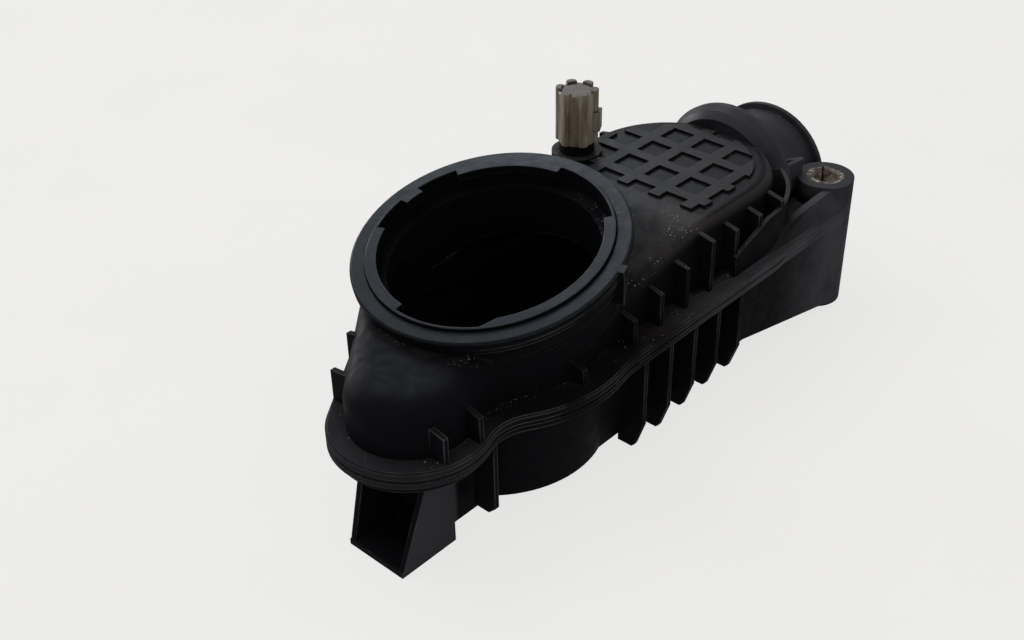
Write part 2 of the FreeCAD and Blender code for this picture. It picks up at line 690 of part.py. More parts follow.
def fins():
    """Deep fins on both straight sides of the tub, and the fin at the waist."""
    made = []
    inner = SIDE_HALF_WIDTH - TUB_INSET - TUB_DRAFT - OVERLAP
    toe = FIN_EDGE_Y - FIN_CHAMFER_INSET
    for side in (-1, 1):
        for number, bottom in enumerate(FIN_BOTTOMS):
            outline = [(inner, -OVERLAP), (FIN_EDGE_Y, -OVERLAP), (FIN_EDGE_Y, bottom + FIN_CHAMFER_RISE),
                       (toe, bottom + OVERLAP), (toe - OVERLAP, bottom), (inner, bottom)]
            x = FIN_FIRST_X + number * FIN_PITCH
            made.append(plank([Vector(x, side * y, z) for y, z in outline], FIN_THICKNESS, ALONG))
    inner = WAIST_FIN_Y + WAIST_FIN_DEPTH
    outline = [(inner, -OVERLAP), (WAIST_FIN_Y, -OVERLAP),
               (WAIST_FIN_Y, WAIST_FIN_BOTTOM + WAIST_FIN_CHAMFER),
               (WAIST_FIN_Y + WAIST_FIN_CHAMFER, WAIST_FIN_BOTTOM), (inner, WAIST_FIN_BOTTOM)]
    made.append(plank([Vector(WAIST_FIN_X, y, z) for y, z in outline], FIN_THICKNESS, ALONG))
    return made


def side_plate():
    """Bare flat plate from the last fin to the ear, with its sloping lower edge."""
    left = FIN_FIRST_X + (len(FIN_BOTTOMS) - 1) * FIN_PITCH
    outline = [(left, -OVERLAP), (left, PLATE_LEFT_BOTTOM), (EAR_X, PLATE_RIGHT_BOTTOM), (EAR_X, -OVERLAP)]
    middle = PLATE_Y + PLATE_THICKNESS / 2
    return plank([Vector(x, middle, z) for x, z in outline], PLATE_THICKNESS, Vector(0, 1, 0))


def ear_web():
    """Upright web from the tub's end to the lower boss of the ear."""
    root = polar(END, SIDE_HALF_WIDTH - TUB_INSET - TUB_DRAFT - OVERLAP, EAR_WEB_ANGLE)
    return upright(root, EAR, EAR_BOTTOM + EAR_WEB_RISE, -OVERLAP)


def foot():
    """Open pocket foot under the nose: floor, back wall, two side walls with raked fronts.

    A web joins its near back corner to the tub.
    """
    top = -LIP_HEIGHT + OVERLAP
    length = FOOT_BACK_X - FOOT_FRONT_X
    width = FOOT_FAR_Y - FOOT_NEAR_Y
    floor = Part.makeBox(length, width, FOOT_WALL, Vector(FOOT_FRONT_X, FOOT_NEAR_Y, FOOT_BOTTOM))
    back = Part.makeBox(FOOT_WALL, width, top - FOOT_BOTTOM,
                        Vector(FOOT_BACK_X - FOOT_WALL, FOOT_NEAR_Y, FOOT_BOTTOM))
    sides = []
    for y, top_x in ((FOOT_NEAR_Y + FOOT_WALL / 2, FOOT_NEAR_TOP_X),
                     (FOOT_FAR_Y - FOOT_WALL / 2, FOOT_FAR_TOP_X)):
        outline = [(FOOT_FRONT_X, FOOT_BOTTOM), (FOOT_BACK_X, FOOT_BOTTOM), (FOOT_BACK_X, top), (top_x, top)]
        sides.append(plank([Vector(x, y, z) for x, z in outline], FOOT_WALL, Vector(0, 1, 0)))
    bowl_radius = BODY_RADIUS - TUB_INSET - TUB_DRAFT
    web_end = BODY_CENTRE_X - math.sqrt(bowl_radius ** 2 - FOOT_NEAR_Y ** 2) + OVERLAP
    web = Part.makeBox(web_end - FOOT_BACK_X + FOOT_WALL, FOOT_WALL, top + TUB_DEPTH,
                       Vector(FOOT_BACK_X - FOOT_WALL, FOOT_NEAR_Y, -TUB_DEPTH))
    return floor.multiFuse([back, web] + sides)


def lower_shell():
    """Lower half: tub, flange lip, fins, side plate, ear bottom and foot."""
    parts = [lip(-1), collar_half(-1), side_plate(), ear_boss(EAR_BOTTOM, 0), ear_web(), foot()]
    solid = tub_form(0).multiFuse(parts + fins())
    hollow = tub_form(WALL)
    passage = Part.makeCylinder(SPIGOT_RADIUS + SPIGOT_GAP, TALL,
                                Vector(COLLAR_BACK_X - 2 * WALL, 0, 0), ALONG)
    solid = solid.cut(hollow.fuse(passage)).cut(ear_hole())
    return solid.removeSplitter()


def sector(inner, outer, start, end, low, high):
    """Part of a ring between two angles and two heights."""
    centre = Vector(0, 0, 0)
    edges = [arc(centre, outer, start, end), arc(centre, inner, start, end)]
    edges += lines([polar(centre, outer, start), polar(centre, inner, start)])
    edges += lines([polar(centre, outer, end), polar(centre, inner, end)])
    return prism(Part.Wire(Part.__sortEdges__(edges)), low, high)


def bayonet_ring():
    """Ring seated in the mouth, with lugs that a mating duct locks under; one has a ramp."""
    centre = Vector(0, 0, 0)
    outer = MOUTH_SEAT_RADIUS - RING_CLEARANCE
    inner = outer - RING_WALL
    low = -MOUTH_SEAT_DEPTH
    height = MOUTH_SEAT_DEPTH + RING_STAND
    tube = Part.makeCylinder(outer, height, Vector(0, 0, low))
    tube = tube.cut(Part.makeCylinder(inner, height, Vector(0, 0, low)))
    lugs = []
    for start, end in RING_LUGS:
        lugs.append(sector(RING_LUG_RADIUS, outer - RING_WALL / 2, start, end,
                           RING_STAND - RING_LUG_THICKNESS, RING_STAND))
    inside = outer - RING_WALL
    hidden = outer - RING_WALL / 2
    ramp = [polar(centre, RING_LUG_RADIUS, RING_RAMP_TOP), polar(centre, hidden, RING_RAMP_TOP),
            polar(centre, hidden, RING_RAMP_FOOT), polar(centre, inside, RING_RAMP_FOOT)]
    lugs.append(prism(Part.makePolygon(ramp + ramp[:1]), RING_STAND - RING_LUG_THICKNESS, RING_STAND))
    return mouth_place(tube.multiFuse(lugs).removeSplitter())


def mount_sleeve():
    """Rolled steel sleeve through the ear, with its split."""
    height = EAR_TOP - EAR_BOTTOM
    place = Vector(EAR_X, EAR_Y, EAR_BOTTOM)
    tube = Part.makeCylinder(SLEEVE_RADIUS, height, place)
    tube = tube.cut(Part.makeCylinder(SLEEVE_BORE, height, place))
    slot = Part.makeBox(SLEEVE_RADIUS + OVERLAP, SLEEVE_SPLIT, height,
                        Vector(EAR_X, EAR_Y - SLEEVE_SPLIT / 2, EAR_BOTTOM))
    slot.rotate(EAR, UP, SLEEVE_SPLIT_ANGLE)
    return tube.cut(slot)


def port_cap():
    """Fluted cap pushed over the nipple, with a wider key on its lower part."""
    low = DECK_HEIGHT + PORT_NECK_HEIGHT
    place = Vector(PORT_X, PORT_Y, low)
    core = Part.makeCylinder(CAP_CORE_RADIUS, CAP_HEIGHT, place)
    core = core.makeChamfer(CAP_CHAMFER, [core.Edges[0]])
    shapes = []
    reach = CAP_RIB_RADIUS - CAP_CORE_RADIUS / 2
    for number in range(CAP_RIBS):
        rib = Part.makeBox(reach, CAP_RIB_WIDTH, CAP_HEIGHT + CAP_RIB_RISE,
                           Vector(CAP_CORE_RADIUS / 2, -CAP_RIB_WIDTH / 2, 0))
        outer = [edge for edge in rib.Edges
                 if edge.BoundBox.ZLength > CAP_HEIGHT and edge.BoundBox.XMin > CAP_CORE_RADIUS]
        rib = rib.makeChamfer(CAP_RIB_BEVEL, outer)
        rib.rotate(Vector(0, 0, 0), UP, number * 360.0 / CAP_RIBS)
        rib.translate(place)
        shapes.append(rib)
    key = Part.makeBox(CAP_RIB_RADIUS + CAP_KEY_REACH, CAP_KEY_WIDTH, CAP_KEY_HEIGHT,
                       Vector(0, -CAP_KEY_WIDTH / 2, CAP_KEY_START))
    key.rotate(Vector(0, 0, 0), UP, CAP_KEY_ANGLE)
    key.translate(place)
    dish = Part.makeCylinder(CAP_CORE_RADIUS - CAP_DISH_WALL, CAP_RIB_RISE + OVERLAP, place + UP * CAP_HEIGHT)
    bore = Part.makeCylinder(PORT_NIPPLE_RADIUS + CAP_CLEARANCE, PORT_NIPPLE_HEIGHT + SEAL_THICKNESS, place)
    return core.multiFuse(shapes + [key]).cut(dish).cut(bore).removeSplitter()


def cap_seal():
    """Soft disc between the nipple's end and the cap's roof."""
    low = DECK_HEIGHT + PORT_NECK_HEIGHT + PORT_NIPPLE_HEIGHT
    return Part.makeCylinder(PORT_NIPPLE_RADIUS, SEAL_THICKNESS, Vector(PORT_X, PORT_Y, low))


def main():
    """Build each piece and write it to its own file."""
    os.makedirs("parts", exist_ok=True)
    makers = (upper_shell, lower_shell, bayonet_ring, mount_sleeve, port_cap, cap_seal)
    for maker in makers:
        shape = maker()
        box = shape.BoundBox
        print(maker.__name__, "valid", shape.isValid(), "solids", len(shape.Solids),
              "volume", round(shape.Volume), "faces", len(shape.Faces),
              "box", [round(v, 1) for v in (box.XMin, box.XMax, box.YMin, box.YMax, box.ZMin, box.ZMax)])
        shape.exportStep("parts/" + maker.__name__ + ".step")


main()
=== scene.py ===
"""Looks of a moulded charge air duct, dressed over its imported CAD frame.

The object is two dark glass filled nylon shells welded along a flange, with a wide tilted
mouth, a bayonet ring, a hose spigot, a sleeved mounting ear and a small capped port.
All lengths are in metres, in the frame of the CAD model: the origin is the centre of the
spigot's end rim, X runs out of the spigot and Z is up.
"""

import logging
from dataclasses import dataclass, field
from enum import Enum

import bpy
from mathutils import Matrix, Vector


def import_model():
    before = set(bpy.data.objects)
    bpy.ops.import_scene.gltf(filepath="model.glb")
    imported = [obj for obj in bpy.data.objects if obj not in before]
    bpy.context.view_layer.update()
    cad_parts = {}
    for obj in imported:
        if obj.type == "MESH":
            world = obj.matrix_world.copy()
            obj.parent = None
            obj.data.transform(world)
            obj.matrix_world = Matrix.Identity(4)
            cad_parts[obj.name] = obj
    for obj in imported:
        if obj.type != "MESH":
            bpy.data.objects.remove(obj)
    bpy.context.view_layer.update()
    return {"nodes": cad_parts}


LOG = logging.getLogger("duct")

Socket = bpy.types.NodeSocket
Triple = tuple[float, float, float]
Span = tuple[float, float]

X_AXIS: Triple = (1.0, 0.0, 0.0)
Y_AXIS: Triple = (0.0, 1.0, 0.0)
Z_AXIS: Triple = (0.0, 0.0, 1.0)
UNIT: Span = (0.0, 1.0)
RISING: Span = (0.0, 1.0)
FALLING: Span = (1.0, 0.0)
CRUMB: Triple = (0.3200, 0.3000, 0.2700)


class Part(Enum):
    """The CAD nodes of the duct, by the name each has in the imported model."""

    UPPER_SHELL = "upper_shell"
    LOWER_SHELL = "lower_shell"
    RING = "bayonet_ring"
    SLEEVE = "mount_sleeve"
    CAP = "port_cap"
    SEAL = "cap_seal"


@dataclass(frozen=True)
class Pattern:
    """Noise on Object coordinates, mapped from a span of its values to two ends.

    The scale counts features per metre, and the turn is in radians.
    """

    scale: float
    span: Span = UNIT
    ends: Span = RISING
    detail: float = 4.0
    roughness: float = 0.6
    stretch: Triple = (1.0, 1.0, 1.0)
    turn: Triple = (0.0, 0.0, 0.0)


@dataclass
class Sheet:
    """A node material being built, with short ways to add and join its nodes."""

    name: str
    mask_samples: int = 6
    edge_samples: int = 4
    edge_turn: Span = (0.84, 0.985)
    speck_core: float = 0.6
    material: bpy.types.Material = field(init=False)
    tree: bpy.types.NodeTree = field(init=False)
    shader: bpy.types.Node = field(init=False)
    output: bpy.types.Node = field(init=False)
    place: bpy.types.Node = field(init=False)

    def __post_init__(self) -> None:
        """Start the material with one shader and Object coordinates."""
        self.material = bpy.data.materials.new(self.name)
        self.material.use_nodes = True
        self.tree = self.material.node_tree
        self.tree.nodes.clear()
        self.output = self.tree.nodes.new("ShaderNodeOutputMaterial")
        self.shader = self.tree.nodes.new("ShaderNodeBsdfPrincipled")
        self.tree.links.new(self.shader.outputs["BSDF"], self.output.inputs["Surface"])
        self.place = self.tree.nodes.new("ShaderNodeTexCoord")

    def join(self, source: Socket, target: Socket) -> None:
        """Link one socket to another."""
        self.tree.links.new(source, target)

    def noise(self, pattern: Pattern) -> Socket:
        """Add a pattern's noise before it is mapped.

        Args:
            pattern: The noise to add.

        Returns:
            The noise's value, from 0 to 1.
        """
        mapping = self.tree.nodes.new("ShaderNodeMapping")
        mapping.inputs["Scale"].default_value = pattern.stretch
        mapping.inputs["Rotation"].default_value = pattern.turn
        self.join(self.place.outputs["Object"], mapping.inputs["Vector"])
        node = self.tree.nodes.new("ShaderNodeTexNoise")
        node.inputs["Scale"].default_value = pattern.scale
        node.inputs["Detail"].default_value = pattern.detail
        node.inputs["Roughness"].default_value = pattern.roughness
        self.join(mapping.outputs["Vector"], node.inputs["Vector"])
        return node.outputs["Fac"]

    def mottle(self, pattern: Pattern) -> Socket:
        """Add a pattern's noise, mapped to its two ends."""
        return self.ramp(self.noise(pattern), pattern.span, pattern.ends)

    def specks(self, scale: float, size: float) -> Socket:
        """Add scattered small round specks.

        Args:
            scale: Cells per metre.
            size: Radius of a speck as a share of its cell.

        Returns:
            A mask, 1 on a speck and 0 elsewhere.
        """
        node = self.tree.nodes.new("ShaderNodeTexVoronoi")
        node.inputs["Scale"].default_value = scale
        self.join(self.place.outputs["Object"], node.inputs["Vector"])
        return self.ramp(node.outputs["Distance"], (size * self.speck_core, size), FALLING)

    def ramp(self, source: Socket, span: Span, ends: Span = RISING) -> Socket:
        """Map a value from one span to another, smoothly and with both ends held.

        Args:
            source: The value to map.
            span: The two values that give the two ends.
            ends: The results there.

        Returns:
            The mapped value.
        """
        node = self.tree.nodes.new("ShaderNodeMapRange")
        node.interpolation_type = "SMOOTHSTEP"
        node.inputs["From Min"].default_value = span[0]
        node.inputs["From Max"].default_value = span[1]
        node.inputs["To Min"].default_value = ends[0]
        node.inputs["To Max"].default_value = ends[1]
        self.join(source, node.inputs["Value"])
        return node.outputs["Result"]

    def combine(self, operation: str, first: Socket, *others: Socket | float) -> Socket:
        """Combine values one after another with a Math node's operation.

        Args:
            operation: Name of the operation, such as MULTIPLY.
            first: The first value.
            others: The values that follow, as sockets or numbers.

        Returns:
            The result.
        """
        result = first
        for other in others:
            node = self.tree.nodes.new("ShaderNodeMath")
            node.operation = operation
            self.join(result, node.inputs[0])
            if isinstance(other, float):
                node.inputs[1].default_value = other
            else:
                self.join(other, node.inputs[1])
            result = node.outputs["Value"]
        return result

    def times(self, first: Socket, *others: Socket | float) -> Socket:
        """Product of values."""
        return self.combine("MULTIPLY", first, *others)

    def total(self, first: Socket, *others: Socket | float) -> Socket:
        """Sum of values."""
        return self.combine("ADD", first, *others)

    def most(self, first: Socket, *others: Socket | float) -> Socket:
        """Highest of values."""
        return self.combine("MAXIMUM", first, *others)

    def facing_up(self, span: Span) -> Socket:
        """Mask of the surfaces that face up.

        Args:
            span: Heights of the normal at which the mask starts and is full.

        Returns:
            The mask, from 0 to 1.
        """
        geometry = self.tree.nodes.new("ShaderNodeNewGeometry")
        parts = self.tree.nodes.new("ShaderNodeSeparateXYZ")
        self.join(geometry.outputs["Normal"], parts.inputs["Vector"])
        return self.ramp(parts.outputs["Z"], span)

    def along(self, direction: Triple) -> Socket:
        """Object coordinate along a direction.

        Args:
            direction: The direction, of length 1 for a coordinate in metres.

        Returns:
            The coordinate.
        """
        node = self.tree.nodes.new("ShaderNodeVectorMath")
        node.operation = "DOT_PRODUCT"
        self.join(self.place.outputs["Object"], node.inputs[0])
        node.inputs[1].default_value = direction
        return node.outputs["Value"]

    def near_to(self, point: Triple, inner: float, fade: float) -> Socket:
        """Mask of what lies round a point.

        Args:
            point: The point.
            inner: Distance up to which the mask is full.
            fade: Width of the band in which it ends.

        Returns:
            The mask, from 0 to 1.
        """
        node = self.tree.nodes.new("ShaderNodeVectorMath")
        node.operation = "DISTANCE"
        self.join(self.place.outputs["Object"], node.inputs[0])
        node.inputs[1].default_value = point
        return self.ramp(node.outputs["Value"], (inner, inner + fade), FALLING)

    def worn_edges(self, width: float) -> Socket:
        """Mask of the edges, where the surface turns within a short way.

        Args:
            width: How far from an edge the mask reaches.

        Returns:
            The mask, from 0 on a flat to 1 at an edge.
        """
        geometry = self.tree.nodes.new("ShaderNodeNewGeometry")
        node = self.tree.nodes.new("ShaderNodeVectorMath")
        node.operation = "DOT_PRODUCT"
        self.join(self.rounded(width, self.mask_samples), node.inputs[0])
        self.join(geometry.outputs["True Normal"], node.inputs[1])
        return self.ramp(node.outputs["Value"], self.edge_turn, FALLING)

    def rounded(self, radius: float, samples: int) -> Socket:
        """Normal of the surface as if its edges were rounded.

        Args:
            radius: Radius of the rounding.
            samples: Rays that look for an edge.

        Returns:
            The normal.
        """
        node = self.tree.nodes.new("ShaderNodeBevel")
        node.samples = samples
        node.inputs["Radius"].default_value = radius
        return node.outputs["Normal"]

    def hollow(self, reach: float, openness: Span, ends: Span = FALLING) -> Socket:
        """Mask of corners and crevices, where dirt stays.

        Args:
            reach: How far away a surface still counts.
            openness: Opennesses at which the mask of crevices is full and ends.
            ends: The mask's values there, RISING for a mask of the open surfaces instead.

        Returns:
            The mask, from 0 to 1.
        """
        node = self.tree.nodes.new("ShaderNodeAmbientOcclusion")
        node.samples = self.mask_samples
        node.inputs["Distance"].default_value = reach
        return self.ramp(node.outputs["AO"], openness, ends)

    def colour(self, value: Triple) -> Socket:
        """A constant colour.

        Args:
            value: Red, green and blue, linear.

        Returns:
            The colour.
        """
        node = self.tree.nodes.new("ShaderNodeRGB")
        node.outputs["Color"].default_value = (*value, 1.0)
        return node.outputs["Color"]

    def layer(self, below: Socket, above: Socket, mask: Socket) -> Socket:
        """Lay one colour over another where a mask is set.

        Args:
            below: The colour underneath.
            above: The colour on top.
            mask: Where the top colour shows.

        Returns:
            The resulting colour.
        """
        node = self.tree.nodes.new("ShaderNodeMix")
        node.data_type = "RGBA"
        self.join(mask, node.inputs["Factor"])
        self.join(below, node.inputs["A"])
        self.join(above, node.inputs["B"])
        return node.outputs["Result"]

    def finish(self, colour: Socket, roughness: Socket, relief: Socket, depth: float,
               edge: float) -> bpy.types.Material:
        """Join colour, roughness and relief to the shader.

        Args:
            colour: The base colour.
            roughness: The roughness.
            relief: The height of the surface's texture, from 0 to 1.
            depth: Depth of that texture.
            edge: Radius that softens the edges.

        Returns:
            The finished material.
        """
        self.join(colour, self.shader.inputs["Base Color"])
        self.join(roughness, self.shader.inputs["Roughness"])
        bump = self.tree.nodes.new("ShaderNodeBump")
        bump.inputs["Strength"].default_value = 1.0
        bump.inputs["Distance"].default_value = depth
        self.join(relief, bump.inputs["Height"])
        self.join(self.rounded(edge, self.edge_samples), bump.inputs["Normal"])
        self.join(bump.outputs["Normal"], self.shader.inputs["Normal"])
        return self.material


@dataclass(frozen=True)
class Places:
    """Where the features of the nylon parts lie, as masks for their finish."""

    mouth: Triple = (-0.1409, 0.0, 0.0313)
    mouth_inner: float = 0.0352
    mouth_fade: float = 0.0004
    rim_slope: float = 0.2373
    rim_height: float = 0.0620
    rim_height_fade: float = 0.0005
    rim_outer: float = 0.0428
    rim_outer_fade: float = 0.0006
    deck_height: float = 0.0225
    waffle_start: Span = (-0.0792, -0.0786)
    waffle_end: Span = (-0.0310, -0.0300)
    waffle_fade: float = 0.0001

    def outside(self, sheet: Sheet) -> Socket:
        """Mask that keeps the dusty film with its painted top light, and the wear, out of the
        mouth: painted shade leaves the inside dark.
        """
        inside = sheet.near_to(self.mouth, self.mouth_inner, self.mouth_fade)
        return sheet.ramp(inside, UNIT, FALLING)

    def rim(self, sheet: Sheet) -> Socket:
        """Mask of the mouth's rim: above a plane tilted as the mouth is, and near its middle.

        Args:
            sheet: The material being built.

        Returns:
            The mask, from 0 to 1.
        """
        height = sheet.along((-self.rim_slope, 0.0, 1.0))
        above = sheet.ramp(height, (self.rim_height - self.rim_height_fade, self.rim_height))
        return sheet.times(above, sheet.near_to(self.mouth, self.rim_outer, self.rim_outer_fade))

    def waffle(self, sheet: Sheet, layer: Span) -> Socket:
        """Mask of a layer of the waffle on the deck.

        Args:
            sheet: The material being built.
            layer: Heights above the deck at which the layer starts and ends.

        Returns:
            The mask, from 0 to 1.
        """
        length = sheet.along(X_AXIS)
        height = sheet.along(Z_AXIS)
        low = self.deck_height + layer[0]
        high = self.deck_height + layer[1]
        return sheet.times(sheet.ramp(length, self.waffle_start),
                           sheet.ramp(length, self.waffle_end, FALLING),
                           sheet.ramp(height, (low - self.waffle_fade, low)),
                           sheet.ramp(height, (high, high + self.waffle_fade), FALLING))


@dataclass(frozen=True)
class DustAndPaintedTopLight:
    """Dusty film with painted top light on open upward faces, cooler on the mouth's rim. Painted
    shade keeps it least on the nose, low in the waffle's pockets and out of hollows, and painted
    light lays it on the sides of the waffle's ribs.
    """

    colour: Triple = (0.0330, 0.0320, 0.0355)
    rim_colour: Triple = (0.0165, 0.0200, 0.0260)
    amount: float = 0.85
    upward: Span = (0.20, 0.90)
    # Painted shade: the film keeps out of hollows and from under overhangs.
    reach: float = 0.025
    openness: Span = (0.35, 0.80)
    blotch: Pattern = Pattern(45.0, (0.30, 0.70), (0.60, 1.0), 5.0, 0.65)
    # Painted light: the sides of the waffle's ribs get the film as well.
    rib_sides: Span = (0.0, 0.00045)
    # Painted shade: the floors of the waffle's pockets get less film.
    pocket_floors: Span = (-0.0003, 0.0003)
    pocket_share: float = 0.30
    # Less film towards the rim's front.
    rim_run: Span = (-0.180, -0.125)
    rim_share: float = 0.75
    # Painted shade: the nose, under the mouth, gets almost no film.
    deck_run: Span = (-0.135, -0.070)
    nose_share: float = 0.05

    def lay(self, sheet: Sheet, places: Places, colour: Socket, outside: Socket) -> Socket:
        """Add the dusty film with its painted top light.

        Args:
            sheet: The material being built.
            places: Where the part's features lie.
            colour: The colour underneath.
            outside: Mask of what lies outside the mouth.

        Returns:
            The colour with its dusty film and painted top light.
        """
        # Upward faces take the painted top light, and so do the sides of the waffle's ribs.
        upward = sheet.most(sheet.facing_up(self.upward), places.waffle(sheet, self.rib_sides))
        # Painted shade: no film in hollows or under the mouth's overhang.
        open_and_unshaded = sheet.hollow(self.reach, self.openness, RISING)
        floors = places.waffle(sheet, self.pocket_floors)
        # Painted shade on the floors of the waffle's pockets.
        pocket_shade = sheet.ramp(floors, UNIT, (1.0, self.pocket_share))
        length = sheet.along(X_AXIS)
        rim = places.rim(sheet)
        # Less film towards the rim's front.
        on_rim = sheet.times(rim, sheet.ramp(length, self.rim_run, (self.rim_share, 1.0)))
        # Painted shade: the film fades out towards the nose.
        on_deck = sheet.ramp(length, self.deck_run, (self.nose_share, 1.0))
        # The film is dust and painted top light together.
        film = sheet.times(upward, open_and_unshaded, sheet.mottle(self.blotch), self.amount, outside,
                           pocket_shade, sheet.most(on_rim, on_deck))
        tone = sheet.layer(sheet.colour(self.colour), sheet.colour(self.rim_colour), rim)
        return sheet.layer(colour, tone, film)


@dataclass(frozen=True)
class RubAndPaintedSheen:
    """Grey rub with painted sheen on the flange's edge, the near side towards the ear, the foot
    and the neck: a lighter colour where light falls on these faces.
    """

    # Painted sheen, with some rub: a lighter colour on faces that catch light.
    colour: Triple = (0.0450, 0.0435, 0.0510)
    amount: float = 0.85
    flange_height: float = 0.0028
    flange_fade: float = 0.0002
    flange_run: Span = (-0.115, -0.075)
    flange_share: float = 0.02
    nose_run: Span = (-0.185, -0.165)
    nose_share: float = 0.3
    flange_mottle: Pattern = Pattern(32.0, (0.36, 0.62), (0.75, 1.2))
    side_axis: Triple = (-0.1, 1.0, 0.0)
    side_face: Span = (-0.0328, -0.0322)
    side_run: Span = (-0.055, -0.020)
    side_mottle: Pattern = Pattern(55.0, (0.30, 0.60), (0.4, 1.0))
    foot_top: Span = (-0.006, -0.004)
    foot_face: Span = (-0.0224, -0.0221)
    foot_run: Span = (-0.181, -0.179)
    foot_share: float = 0.9
    neck_run: Span = (-0.036, -0.026)
    neck_foot: Span = (0.004, 0.008)
    neck_mottle: Pattern = Pattern(48.0, (0.32, 0.66), (0.40, 0.95))

    def flange(self, sheet: Sheet, length: Socket, height: Socket) -> Socket:
        """Mask of the flange's edge, full towards the ear and lighter round the nose.

        Args:
            sheet: The material being built.
            length: Object coordinate along X.
            height: Object coordinate along Z.

        Returns:
            The mask, from 0 to 1.
        """
        top = self.flange_height
        over = sheet.ramp(height, (-top - self.flange_fade, -top))
        under = sheet.ramp(height, (top, top + self.flange_fade), FALLING)
        ear_end = sheet.ramp(length, self.flange_run, (self.flange_share, 1.0))
        nose_end = sheet.ramp(length, self.nose_run, (self.nose_share, self.flange_share))
        return sheet.times(over, under, sheet.most(ear_end, nose_end),
                           sheet.mottle(self.flange_mottle))

    def side(self, sheet: Sheet, length: Socket) -> Socket:
        """Mask of the near side's outer face towards the ear.

        Args:
            sheet: The material being built.
            length: Object coordinate along X.

        Returns:
            The mask, from 0 to 1.
        """
        face = sheet.ramp(sheet.along(self.side_axis), self.side_face, FALLING)
        return sheet.times(sheet.ramp(length, self.side_run), face,
                           sheet.mottle(self.side_mottle))

    def foot(self, sheet: Sheet, length: Socket, height: Socket) -> Socket:
        """Mask of the foot's near face.

        Args:
            sheet: The material being built.
            length: Object coordinate along X.
            height: Object coordinate along Z.

        Returns:
            The mask, from 0 to 1.
        """
        face = sheet.ramp(sheet.along(Y_AXIS), self.foot_face, FALLING)
        return sheet.times(sheet.ramp(height, self.foot_top, FALLING), face,
                           sheet.ramp(length, self.foot_run, (self.foot_share, 0.0)))

    def neck(self, sheet: Sheet, length: Socket, height: Socket) -> Socket:
        """Mask of the collar and the hose spigot.

        Args:
            sheet: The material being built.
            length: Object coordinate along X.
            height: Object coordinate along Z.

        Returns:
            The mask, from 0 to 1.
        """
        return sheet.times(sheet.ramp(length, self.neck_run), sheet.ramp(height, self.neck_foot),
                           sheet.mottle(self.neck_mottle))

    def lay(self, sheet: Sheet, colour: Socket) -> Socket:
        """Add the rubbed grey and its painted sheen.

        Args:
            sheet: The material being built.
            colour: The colour underneath.

        Returns:
            The colour with its rubbed grey and painted sheen.
        """
        length = sheet.along(X_AXIS)
        height = sheet.along(Z_AXIS)
        # Painted sheen, with some rub, on the flange's edge, the near side, the foot's near
        # face, the collar and the spigot.
        mask = sheet.most(self.flange(sheet, length, height), self.side(sheet, length),
                          self.foot(sheet, length, height), self.neck(sheet, length, height))
        return sheet.layer(colour, sheet.colour(self.colour), sheet.times(mask, self.amount))


@dataclass(frozen=True)
class Wear:
    """Rubbed edges and a few fine scratches."""

    colour: Triple = (0.1050, 0.1060, 0.1100)
    amount: float = 0.65
    edge_width: float = 0.0007
    unworn: Span = (0.0, 0.5)
    patches: Pattern = Pattern(70.0, (0.38, 0.66), (0.10, 1.0))
    lines: Pattern = Pattern(420.0, (0.70, 0.73), detail=2.0, roughness=0.4,
                             stretch=(1.4, 1.2, 0.06), turn=(0.5, 0.9, 0.2))
    scratched: Pattern = Pattern(38.0, (0.58, 0.68), detail=2.0, roughness=0.5)
    scratch_amount: float = 0.10

    def lay(self, sheet: Sheet, colour: Socket, crevice: Socket, outside: Socket) -> Socket:
        """Add the wear.

        Args:
            sheet: The material being built.
            colour: The colour underneath.
            crevice: Mask of the corners, which stay unworn.
            outside: Mask of what lies outside the mouth.

        Returns:
            The colour with its wear.
        """
        edges = sheet.times(sheet.worn_edges(self.edge_width), sheet.mottle(self.patches),
                            sheet.ramp(crevice, self.unworn, FALLING), outside, self.amount)
        colour = sheet.layer(colour, sheet.colour(self.colour), edges)
        scratches = sheet.times(sheet.mottle(self.lines), sheet.mottle(self.scratched),
                                self.scratch_amount, outside)
        return sheet.layer(colour, sheet.colour(CRUMB), scratches)


@dataclass(frozen=True)
class Soil:
    """Brown soil in the corners with pale crumbs on it, most near the foot of the ramp."""

    colour: Triple = (0.0480, 0.0380, 0.0300)
    amount: float = 0.38
    crumb_amount: float = 0.85
    ramp_foot: Span = (-0.125, -0.108)
    ramp_end: Span = (-0.085, -0.060)
    near_half: Span = (-0.030, 0.005)
    level: Span = (0.5, 0.9)
    corner_share: float = 0.7
    ramp_share: float = 0.8
    drift: Pattern = Pattern(120.0, (0.42, 0.62), detail=6.0, roughness=0.7)
    large_crumbs: Span = (430.0, 0.15)
    small_crumbs: Span = (900.0, 0.20)
    gathered: Pattern = Pattern(110.0, (0.46, 0.56))

    def lay(self, sheet: Sheet, colour: Socket, lying: Socket) -> Socket:
        """Add the soil and its crumbs.

        Args:
            sheet: The material being built.
            colour: The colour underneath.
            lying: Mask of the upward corners that hold dirt.

        Returns:
            The colour with its dirt.
        """
        length = sheet.along(X_AXIS)
        spot = sheet.times(sheet.ramp(length, self.ramp_foot),
                           sheet.ramp(length, self.ramp_end, FALLING),
                           sheet.ramp(sheet.along(Y_AXIS), self.near_half, FALLING),
                           sheet.facing_up(self.level), self.ramp_share)
        held = sheet.most(sheet.times(lying, self.corner_share), spot)
        soil = sheet.times(held, sheet.mottle(self.drift), self.amount)
        colour = sheet.layer(colour, sheet.colour(self.colour), soil)
        specks = sheet.most(sheet.specks(*self.large_crumbs), sheet.specks(*self.small_crumbs))
        crumbs = sheet.times(specks, sheet.mottle(self.gathered), held, self.crumb_amount)
        return sheet.layer(colour, sheet.colour(CRUMB), crumbs)


